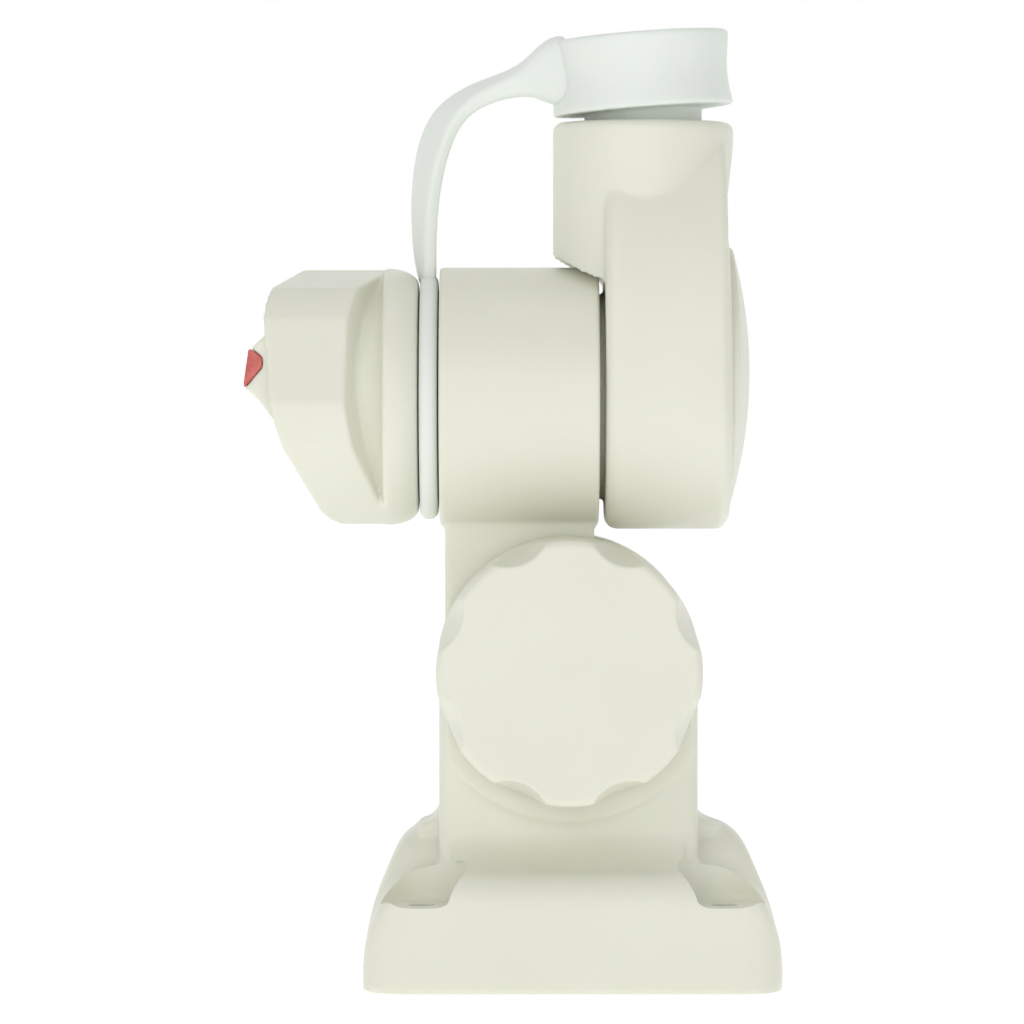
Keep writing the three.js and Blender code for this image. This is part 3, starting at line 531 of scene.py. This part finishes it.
def ridgeOutline(top, bottom):
    # the raised shoulders between the screws, seen along X
    p = pedestal
    foot = p["ridgeFoot"] * mm
    ridge = p["ridge"] * mm
    right = [(foot, bottom)]
    right += curve((foot, p["creaseZ"] * mm), (foot, p["hollowZ"] * mm + mm), (ridge, top), 16)
    right += [(ridge, top)]
    return right + [(-y, z) for y, z in reversed(right)]


def columnOutline(inset):
    p = pedestal
    half = (p["columnWidth"] / 2 - inset) * mm
    crown = (p["crown"] - inset) * mm
    start = math.degrees(math.acos(half / crown))
    return [(-half, 0), (half, 0)] + arc(0, hingeZ, crown, start, 180 - start, 96)


def footSide(corners, bottom):
    # the foot seen along Y; corners are (in from the side, up, round)
    low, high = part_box("pedestal")
    right = [(high.x - inset * mm, z * mm, reach * mm) for inset, z, reach in corners]
    left = [(low.x + inset * mm, z * mm, reach * mm) for inset, z, reach in reversed(corners)]
    return roundedOutline([(low.x, bottom, 0), (high.x, bottom, 0)] + right + left, 14)


def makeFoot():
    p = pedestal
    low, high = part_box("pedestal")
    corner = p["footCorner"] * mm
    under = p["under"] * mm  # built deep, so that easing leaves the underside flat
    top = p["shoulders"][-1][1] * mm
    plan = roundedOutline([(low.x, low.y, corner), (high.x, low.y, corner),
                           (high.x, high.y, corner), (low.x, high.y, corner)], 14)
    foot = slab("z", plan, under, top)
    shoulders = slab("z", plan, under, top)
    keep(foot, slab("y", footSide(p["flanks"], under), low.y, high.y),
         slab("x", sweepOutline(p["ridge"] * mm, top, under), low.x, high.x))
    keep(shoulders, slab("y", footSide(p["shoulders"], under), low.y, high.y),
         slab("x", ridgeOutline(top, under), low.x, high.x))
    join(foot, shoulders)
    soften(foot, p["footVoxel"] * mm, p["footEase"])
    middle = slab("z", plan, under, top)
    halfColumn = (p["columnWidth"] / 2 - p["columnCorner"]) * mm
    face = p["columnDepth"] / 2 * mm
    sweep = sweepOutline(face, p["columnSweepZ"] * mm, under)
    keep(middle, slab("x", sweep, -halfColumn, halfColumn))
    join(foot, middle)
    return keep(foot, box((-far, -far, 0), (far, far, far)))


def makeColumn():
    p = pedestal
    face = p["columnDepth"] / 2 * mm
    half = p["columnWidth"] / 2 * mm
    corner = p["columnCorner"] * mm
    shaft = slab("y", columnOutline(0), -face, face)
    plan = roundedOutline([(-half, -face, corner), (half, -face, corner),
                           (half, face, corner), (-half, face, corner)])
    keep(shaft, slab("z", plan, 0, aboveAll))
    bossFace = face + p["bossHeight"] * mm
    boss = rod("y", p["bossRadius"] * mm, -bossFace, bossFace, 0, hingeZ, 192)
    keep(boss, slab("y", columnOutline(p["bossInset"]), -bossFace, bossFace))
    top = p["flareZ"] * mm
    out = half + p["flare"] * mm
    rise = top + p["flareRise"] * mm
    depth = p["flareDepth"] * mm
    right = [(out, top - 2 * mm)] + curve((out, top), (half, top), (half, rise)) + [(half, rise)]
    skirt = slab("y", right + [(-x, z) for x, z in reversed(right)], -depth, depth)
    return join(shaft, boss, skirt)


def makePedestal():
    p = pedestal
    foot = join(makeFoot(), makeColumn())
    slot = p["slotHalf"] * mm
    cut(foot, box((-far, -slot, hingeZ - p["slotFloor"] * mm), (far, slot, aboveAll)),
        rod("y", p["ringRadius"] * mm, -p["ringSeat"] * mm, p["ringSeat"] * mm, 0, hingeZ),
        rod("y", p["bore"] * mm, -far, far, 0, hingeZ, 48),
        slab("y", hexagon(p["boltAcross"], hingeZ), p["boltSeat"] * mm, far))
    soften(foot, p["voxel"] * mm, p["ease"])
    # screw recesses are cut after easing, so their rims stay crisp
    seat = p["screwSeat"] * mm
    low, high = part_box("pedestal")
    for x in (low.x + p["screwInX"] * mm, high.x - p["screwInX"] * mm):
        for y in (low.y + p["screwInY"] * mm, high.y - p["screwInY"] * mm):
            bowl = rod("z", p["recess"] * mm, seat, p["recessTop"] * mm, x, y, 160)
            bevelEdges(bowl, p["recessRound"] * mm, lambda co: co.z < seat + hair, 12)
            cut(foot, bowl, rod("z", p["screwHole"] * mm, -far, seat + mm, x, y, 64))
    pick(foot)
    bpy.ops.object.shade_smooth_by_angle(angle=math.radians(p["creaseAngle"]))
    return finishPiece(foot, "pedestalMoulding", "base", "cream_plastic", cream, "pedestal")


# ---- tilt knob: a disc with thumb scoops that run out before its back rim

knob = {
    "frontEdge": 1.6, "backEdge": 0.5, "scoops": 8, "scoopRadius": 8.8, "scoopCut": 3.0, "lean": 11,
    "washerPocket": 2.2, "washerRadius": 12.3, "insertAcross": 12.6, "insertDepth": 12.8,
    "boltDepth": 13.6, "bore": 4.3, "voxel": 0.4, "ease": 4,
}


def makeTiltKnob():
    k = knob
    low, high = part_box("tilt_knob")
    radius = (high.x - low.x) / 2
    front, back = low.y, high.y
    disc = rod("y", radius, front, back, 0, hingeZ, 256)
    bevelEdges(disc, k["frontEdge"] * mm, lambda co: co.y < front + hair, 8)
    bevelEdges(disc, k["backEdge"] * mm, lambda co: co.y > back - hair, 3)
    lean = math.radians(k["lean"])
    reach = radius - k["scoopCut"] * mm + k["scoopRadius"] * mm / math.cos(lean)
    for i in range(k["scoops"]):
        turn = (i + 0.5) * 2 * math.pi / k["scoops"]
        scoop = rod("y", k["scoopRadius"] * mm, -far / 2, far / 2)
        scoop.rotation_euler = (0, 0, -lean)
        settle(scoop, "scoop")
        scoop.location = (reach, front, 0)
        settle(scoop, "scoop")
        scoop.rotation_euler = (0, turn, 0)
        settle(scoop, "scoop")
        scoop.location = (0, 0, hingeZ)
        cut(disc, settle(scoop, "scoop"))
    cut(disc, rod("y", k["washerRadius"] * mm, back - k["washerPocket"] * mm, 0, 0, hingeZ),
        slab("y", hexagon(k["insertAcross"], hingeZ), back - k["insertDepth"] * mm, 0),
        rod("y", k["bore"] * mm, back - k["boltDepth"] * mm, 0, 0, hingeZ, 48))
    soften(disc, k["voxel"] * mm, k["ease"])
    return finishPiece(disc, "tiltKnobMoulding", "tilt_knob", "cream_plastic", cream, "tilt_knob")


# ---- arm: tongue, offset neck and barrel

arm = {
    "tongueHalf": 7.7, "neckRight": 5.5, "neckEdge": 0.8, "barrelLeft": -26.8, "barrelRight": 6.4,
    "barrelRound": 3.2, "hubRadius": 14, "hubEnd": -30.6, "bore": 4.3, "bushBore": 7.4,
    "bushDepth": 12.3, "springPocket": 9, "springDepth": 18.9, "cavity": 22.2,
    "cavityDepth": 11.4, "voxel": 0.5, "ease": 4,
}


def makeArm():
    a = arm
    low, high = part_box("swivel_arm")
    tongueRadius = hingeZ - low.z
    barrelRadius = high.z - swivelZ
    half = a["tongueHalf"] * mm
    right = a["barrelRight"] * mm
    body = rod("y", tongueRadius, -half, half, 0, hingeZ, 192)
    bevelEdges(body, a["neckEdge"] * mm, lambda co: abs(co.y) > half - hair, 3)
    neck = box((-tongueRadius, -half, hingeZ), (a["neckRight"] * mm, half, swivelZ))
    bevelEdges(neck, a["neckEdge"] * mm, lambda co: True, 3)
    left = a["barrelLeft"] * mm
    barrel = rod("x", barrelRadius, left, right, 0, swivelZ, 256)
    bevelEdges(barrel, a["barrelRound"] * mm,
               lambda co: co.x > right - hair or co.x < left + hair, 8)
    hubEnd = a["hubEnd"] * mm
    join(body, neck, barrel, rod("x", a["hubRadius"] * mm, hubEnd, 0, 0, swivelZ))
    cut(body, rod("x", a["cavity"] * mm, right - a["cavityDepth"] * mm, far, 0, swivelZ, 192),
        rod("x", a["springPocket"] * mm, right - a["springDepth"] * mm, far, 0, swivelZ),
        rod("x", a["bore"] * mm, -far, far, 0, swivelZ, 48),
        rod("x", a["bushBore"] * mm, -far, hubEnd + a["bushDepth"] * mm, 0, swivelZ, 64),
        rod("y", a["bore"] * mm, -far, far, 0, hingeZ, 48))
    soften(body, a["voxel"] * mm, a["ease"])
    return finishPiece(body, "swivelArmMoulding", "arm", "cream_plastic", cream, "swivel_arm")


# ---- head: egg-shaped plate with the pole socket on top

# heights are above the swivel
head = {
    "left": 7.6, "right": 32.9, "radius": 27.7, "rise": 56.3, "leftEdge": 2.6, "rightEdge": 1.6,
    "socketX": 15.8, "socketRadius": 18.9, "socketEdge": 1.8, "socketFloor": 32.4, "bore": 12.75,
    "saddle": 29.2, "runout": 39, "runoutLength": 14, "spigot": 21.4, "spigotEnd": 3.6,
    "rimInset": 1.8, "rimTopInset": 23, "rimHeight": 0.8, "coverInset": 1.8, "coverDepth": 2.5,
    "boltDepth": 5.9, "boltAcross": 13.6, "boltBore": 4.3, "voxel": 0.52, "ease": 5,
}


def makeHead():
    h = head
    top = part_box("socket_head")[1].z
    left = h["left"] * mm
    right = h["right"] * mm
    socketX = h["socketX"] * mm
    plate = slab("x", egg(h["radius"] * mm, h["rise"] * mm), left, right)
    bevelEdges(plate, h["leftEdge"] * mm, lambda co: co.x < left + hair, 6)
    bevelEdges(plate, h["rightEdge"] * mm, lambda co: co.x > right - hair, 5)
    socket = rod("z", h["socketRadius"] * mm, swivelZ, top, socketX, 0, 192)
    bevelEdges(socket, h["socketEdge"] * mm, lambda co: co.z > top - hair, 6)
    runout = swivelZ + h["runout"] * mm
    runoutEnd = runout + h["runoutLength"] * mm
    slope = slab("y", [(right, 0), (far, 0), (far, runoutEnd),
                       (socketX + h["socketRadius"] * mm, runoutEnd), (right, runout)], -far, far)
    cut(socket, slope, box((-far, -far, 0), (left + overlap, far, swivelZ)))
    join(plate, socket)
    cut(plate, rod("x", h["saddle"] * mm, -far, left, 0, swivelZ, 256))
    rimX = right + h["rimHeight"] * mm
    rim = slab("x", egg((h["radius"] - h["rimInset"]) * mm, (h["rise"] - h["rimTopInset"]) * mm),
               right - overlap, rimX)
    join(plate, rim, rod("x", h["spigot"] * mm, h["spigotEnd"] * mm, left + overlap,
                         0, swivelZ, 192))
    total = h["rimInset"] + h["coverInset"]
    seatX = rimX - h["coverDepth"] * mm
    seat = slab("x", egg((h["radius"] - total) * mm,
                         (h["rise"] - h["rimTopInset"] - h["coverInset"]) * mm), seatX, far)
    cut(plate, seat,
        rod("z", h["bore"] * mm, swivelZ + h["socketFloor"] * mm, aboveAll, socketX, 0, 192),
        slab("x", hexagon(h["boltAcross"], swivelZ), seatX - h["boltDepth"] * mm, far),
        rod("x", h["boltBore"] * mm, -far, far, 0, swivelZ, 48))
    soften(plate, h["voxel"] * mm, h["ease"])
    return finishPiece(plate, "socketHeadMoulding", "head", "cream_plastic", cream, "socket_head")


# ---- head cover: a shallow egg-shaped dome

cover = {"domeRadius": 95, "peakRise": 5, "wall": 2.0, "hollow": 0.9, "voxel": 0.35, "ease": 4}


def makeCover():
    c = cover
    low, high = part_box("head_cover")
    radius = (high.y - low.y) / 2
    rise = high.z - swivelZ
    shell = slab("x", egg(radius, rise), low.x, high.x)
    dome = c["domeRadius"] * mm
    bpy.ops.mesh.primitive_uv_sphere_add(segments=256, ring_count=256, radius=dome,
                                         location=(high.x - dome, 0, swivelZ + c["peakRise"] * mm))
    keep(shell, settle(bpy.context.object, "dome"))
    wall = c["wall"] * mm
    hollow = egg(radius - wall, rise - wall)
    cut(shell, slab("x", hollow, -far, low.x + c["hollow"] * mm))
    soften(shell, c["voxel"] * mm, c["ease"])
    return finishPiece(shell, "headCoverMoulding", "head", "cream_plastic", cream, "head_cover")


# ---- clamp handle: a slanted six-sided grip on a round disc, with a finger recess behind it

handle = {
    "faceX": -51.7, "slopeY": 0.38, "faceSlopeZ": -0.2, "backSlopeZ": -0.09, "grip": 15.7,
    "gripRadius": 29.2, "turn": -13, "cornerReach": 3.5, "discRadius": 26.9, "discDepth": 7.3,
    "rimLong": 6.6, "rimDeep": 3.6, "outerRim": 1.6, "hub": 20.7, "hubRound": 5.2,
    "washerPocket": 1.85, "washerRadius": 13.3, "insertAcross": 12.6, "insertDepth": 15.95,
    "noseFrom": -21.4, "noseTo": -13, "voxel": 0.42, "ease": 7,
    # the pointer and its lens seen from the front: x, and up from the swivel
    "nose": [(-50, -5), (-50, 13.7), (-60.6, 13.7), (-62.2, 13.1), (-63.6, 11.8), (-65.3, 10.1),
             (-66, 9.7), (-67, 2.8), (-66.8, 1.8), (-64.8, 0.2), (-63.2, -1.5), (-62.3, -2.9),
             (-60.7, -5)],
    "lens": [(-70, 9.9), (-65.3, 9.9), (-63.1, 8.1), (-63.1, 6.2), (-66.7, 1.9), (-70, 1.9)],
    "lensGap": 0.08, "lensVoxel": 0.15, "lensEase": 3,
}


def beyondSlope(faceX, side, slopeZ):
    # all that lies past a slanted plane, on its left (-1) or right (1)
    low, high = sorted((0.0, side * far))
    solid = box((low, -far, swivelZ - far), (high, far, swivelZ + far))
    for vert in solid.data.vertices:
        vert.co.x += faceX + handle["slopeY"] * vert.co.y + slopeZ * (vert.co.z - swivelZ)
    return solid


def makeGrip(outer):
    # a six-sided grip with a slanted face, cut away behind on the -Y side for the fingers
    h = handle
    corners = []
    for i in range(6):
        turn = math.radians(h["turn"] + 60 * i)
        corners.append((-h["gripRadius"] * mm * math.cos(turn),
                        swivelZ + h["gripRadius"] * mm * math.sin(turn), h["cornerReach"] * mm))
    grip = slab("x", roundedOutline(corners, 10), -far, outer + 2 * overlap)
    keep(grip, rod("x", h["discRadius"] * mm, -far, 0, 0, swivelZ, 256))
    recess = beyondSlope((h["faceX"] + h["grip"]) * mm, 1, h["backSlopeZ"])
    keep(recess, box((-far, -far, 0), (0, h["discRadius"] * mm, aboveAll)))
    return cut(grip, recess)


def makeHub(outer):
    # the recess's floor, sweeping out into the disc
    h = handle
    bend = h["hubRound"] * mm
    reach = h["hub"] * mm + bend
    flare = rod("x", reach, outer - bend, outer + overlap, 0, swivelZ, 256)
    bpy.ops.mesh.primitive_torus_add(major_segments=256, minor_segments=96, major_radius=reach,
                                     minor_radius=bend, location=(outer - bend, 0, swivelZ),
                                     rotation=turnTo["x"])
    cut(flare, settle(bpy.context.object, "sweep"))
    return join(flare, rod("x", h["hub"] * mm, -far, outer, 0, swivelZ, 256))


def noseOutline():
    return [(x * mm, swivelZ + up * mm) for x, up in handle["nose"]]


def lensOutline(shrink=0.0):
    # the front stays put, and the back, top and underside draw in
    front = handle["lens"][0][0]
    top = handle["lens"][0][1]
    low = handle["lens"][-1][1]
    points = []
    for x, up in handle["lens"]:
        if x > front and up != low:
            x -= shrink
        if up == top:
            up -= shrink
        elif up == low:
            up += shrink
        points.append((x * mm, swivelZ + up * mm))
    return points


def makeNose():
    return slab("y", noseOutline(), handle["noseFrom"] * mm, handle["noseTo"] * mm)


def roundRim(obj, edgeX, length, depth, steps=10):
    # turns the sharp rim at edgeX into an oval shoulder: bevelled evenly, then stretched
    even = 0.002
    bevelEdges(obj, even, lambda co: co.x > edgeX - hair, steps)
    radius = max(math.hypot(v.co.y, v.co.z - swivelZ) for v in obj.data.vertices)
    for vert in obj.data.vertices:
        r = math.hypot(vert.co.y, vert.co.z - swivelZ)
        along = (vert.co.x - edgeX) / even + 1
        inward = (radius - r) / even
        if along < -0.05 or inward > 1.01:
            continue
        vert.co.x = edgeX - length + length * along
        scale = (radius - depth * inward) / r
        vert.co.y *= scale
        vert.co.z = swivelZ + (vert.co.z - swivelZ) * scale


def makeHandle():
    h = handle
    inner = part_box("clamp_handle")[1].x
    outer = inner - h["discDepth"] * mm
    disc = rod("x", h["discRadius"] * mm, outer, inner, 0, swivelZ, 256)
    roundRim(disc, inner, h["rimLong"] * mm, h["rimDeep"] * mm)
    bevelEdges(disc, h["outerRim"] * mm, lambda co: co.x < outer + hair, 6)
    body = join(makeGrip(outer), makeHub(outer), disc)
    cut(body, beyondSlope(h["faceX"] * mm, -1, h["faceSlopeZ"]))
    join(body, makeNose())
    cut(body, slab("y", lensOutline(), -far, 0),
        rod("x", h["washerRadius"] * mm, inner - h["washerPocket"] * mm, 0, 0, swivelZ),
        slab("x", hexagon(h["insertAcross"], swivelZ), inner - h["insertDepth"] * mm, 0))
    soften(body, h["voxel"] * mm, h["ease"])
    return finishPiece(body, "clampHandleMoulding", "clamp_handle", "cream_plastic", cream,
                       "clamp_handle")


def makeLens():
    h = handle
    lens = makeNose()
    keep(lens, slab("y", lensOutline(h["lensGap"]), -far, 0))
    soften(lens, h["lensVoxel"] * mm, h["lensEase"])
    return finishPiece(lens, "pointerLens", "clamp_handle", "red_plastic", lensRed, "pointer_lens")


# ---- tether: ring, strap and plug

tether = {
    "ringEdge": 1.8, "ringHole": 14.5, "voxel": 0.35, "ease": 3,
    "sideSquare": 0.35, "faceSquare": 0.6,  # powers that square the strap's oval section
}


def makeTetherRing():
    t = tether
    low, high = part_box("tether_ring")
    radius = (high.z - low.z) / 2
    ring = rod("x", radius, low.x, high.x, 0, swivelZ, 256)
    bevelEdges(ring, t["ringEdge"] * mm, lambda co: co.x < low.x + hair, 8)
    bevelEdges(ring, t["ringEdge"] * mm, lambda co: co.x > high.x - hair, 8)
    cut(ring, rod("x", t["ringHole"] * mm, -far, far, 0, swivelZ))
    soften(ring, t["voxel"] * mm, t["ease"])
    return finishPiece(ring, "tetherRing", "tether", "white_rubber", rubber, "tether_ring")


# along the strap: x, up from the swivel, thickness, width, twist; mm and degrees
strapStations = [
    (-29.2, 22.5, 3.4, 11.5, 1), (-29.7, 27.0, 3.3, 10.5, 11), (-30.1, 32.0, 3.3, 10, 17),
    (-30.1, 38.0, 3.3, 10, 21), (-29.7, 44.0, 3.3, 10, 26), (-28.8, 49.5, 3.3, 10, 30),
    (-27.4, 54.5, 3.3, 10, 33), (-25.2, 58.6, 3.4, 10, 30), (-22.2, 61.4, 3.6, 10, 22),
    (-18.4, 63.5, 4.0, 10.2, 16), (-14.0, 65.0, 4.6, 10.6, 11), (-10.8, 65.9, 5.8, 11.5, 8),
    (-8.2, 66.7, 7.8, 13.0, 5), (-5.4, 67.2, 12.0, 15.5, 2), (-2.6, 68.0, 14.4, 18.0, 0),
    (0.5, 68.6, 14.8, 20.0, 0),
]


def makeStrap():
    t = tether
    sections = []
    count = len(strapStations)
    for i, (x, up, thick, width, twist) in enumerate(strapStations):
        before = strapStations[max(i - 1, 0)]
        after = strapStations[min(i + 1, count - 1)]
        tangent = Vector((after[0] - before[0], 0, after[1] - before[1])).normalized()
        across = Vector((0, 1, 0))
        outward = across.cross(tangent)
        turn = math.radians(twist)
        widthDir = across * math.cos(turn) - outward * math.sin(turn)
        thickDir = outward * math.cos(turn) + across * math.sin(turn)
        bpy.ops.mesh.primitive_circle_add(vertices=32, radius=1)
        ring = bpy.context.object
        for vert in ring.data.vertices:
            c, s = vert.co.x, vert.co.y
            u = math.copysign(abs(c) ** t["sideSquare"], c) * width / 2
            v = math.copysign(abs(s) ** t["faceSquare"], s) * thick / 2
            vert.co = (Vector((x, 0, up)) + widthDir * u + thickDir * v) * mm
            vert.co.z += swivelZ
        sections.append(ring)
    pick(sections[0])
    for ring in sections:
        ring.select_set(True)
    bpy.ops.object.join()
    strap = bpy.context.object
    bpy.ops.object.mode_set(mode="EDIT")
    bpy.ops.mesh.select_all(action="SELECT")
    bpy.ops.mesh.bridge_edge_loops()
    bpy.ops.mesh.select_all(action="DESELECT")
    bpy.ops.mesh.select_non_manifold()
    bpy.ops.mesh.fill()
    bpy.ops.mesh.select_all(action="SELECT")
    bpy.ops.mesh.normals_make_consistent(inside=False)
    bpy.ops.object.mode_set(mode="OBJECT")
    smooth = strap.modifiers.new("smooth", "SUBSURF")
    smooth.levels = smooth.render_levels = 2
    bpy.ops.object.modifier_apply(modifier=smooth.name)
    bpy.ops.object.shade_smooth()
    strap = settle(strap, "tetherStrap")
    strap.data.materials.append(rubber)
    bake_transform(strap)
    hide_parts("tether_strap")
    print("made tetherStrap", len(strap.data.polygons), "faces")
    return strap


# heights are above the swivel
plug = {
    "capRadius": 19.0, "capBottom": 60, "capHeight": 15.6, "tilt": 4.4, "topEdge": 0.9,
    "bottomEdge": 0.6, "waist": 0.8, "waistSpread": 0.85, "waistSharp": 1.5, "waistSteps": 16,
    "sideFrom": 17, "neckRadius": 12.3, "neckBottom": 44.4, "neckInCap": 5, "lead": 2,
    "voxel": 0.4, "ease": 4,
}


def makePlug():
    p = plug
    socketX = head["socketX"] * mm
    top = p["capHeight"] * mm
    bpy.ops.mesh.primitive_cylinder_add(vertices=256, radius=p["capRadius"] * mm, depth=top,
                                        location=(0, 0, top / 2))
    cap = settle(bpy.context.object, "cap")
    bevelEdges(cap, p["topEdge"] * mm, lambda co: co.z > top - hair, 6)
    bevelEdges(cap, p["bottomEdge"] * mm, lambda co: co.z < hair, 4)
    for i in range(1, p["waistSteps"]):
        height = top * i / p["waistSteps"]
        bpy.ops.object.mode_set(mode="EDIT")
        bpy.ops.mesh.select_all(action="SELECT")
        bpy.ops.mesh.bisect(plane_co=(0, 0, height), plane_no=(0, 0, 1))
        bpy.ops.object.mode_set(mode="OBJECT")
    for vert in cap.data.vertices:
        r = math.hypot(vert.co.x, vert.co.y)
        if r > p["sideFrom"] * mm and 0 < vert.co.z < top:
            share = math.sin(math.pi * (vert.co.z / top) ** p["waistSpread"])
            scale = (r - p["waist"] * mm * share ** p["waistSharp"]) / r
            vert.co.x *= scale
            vert.co.y *= scale
    bottom = swivelZ + p["capBottom"] * mm
    cap.rotation_euler = (0, -math.radians(p["tilt"]), 0)
    cap.location = (socketX, 0, bottom)
    settle(cap, "cap")
    neckBottom = swivelZ + p["neckBottom"] * mm
    neck = rod("z", p["neckRadius"] * mm, neckBottom, bottom + p["neckInCap"] * mm, socketX, 0)
    bevelEdges(neck, p["lead"] * mm, lambda co: co.z < neckBottom + hair, 4)
    join(cap, neck)
    soften(cap, p["voxel"] * mm, p["ease"])
    return finishPiece(cap, "socketPlug", "plug", "white_rubber", rubber, "socket_plug")


makePedestal()
makeTiltKnob()
makeArm()
makeHead()
makeCover()
makeHandle()
makeLens()
makeTetherRing()
makeStrap()
makePlug()
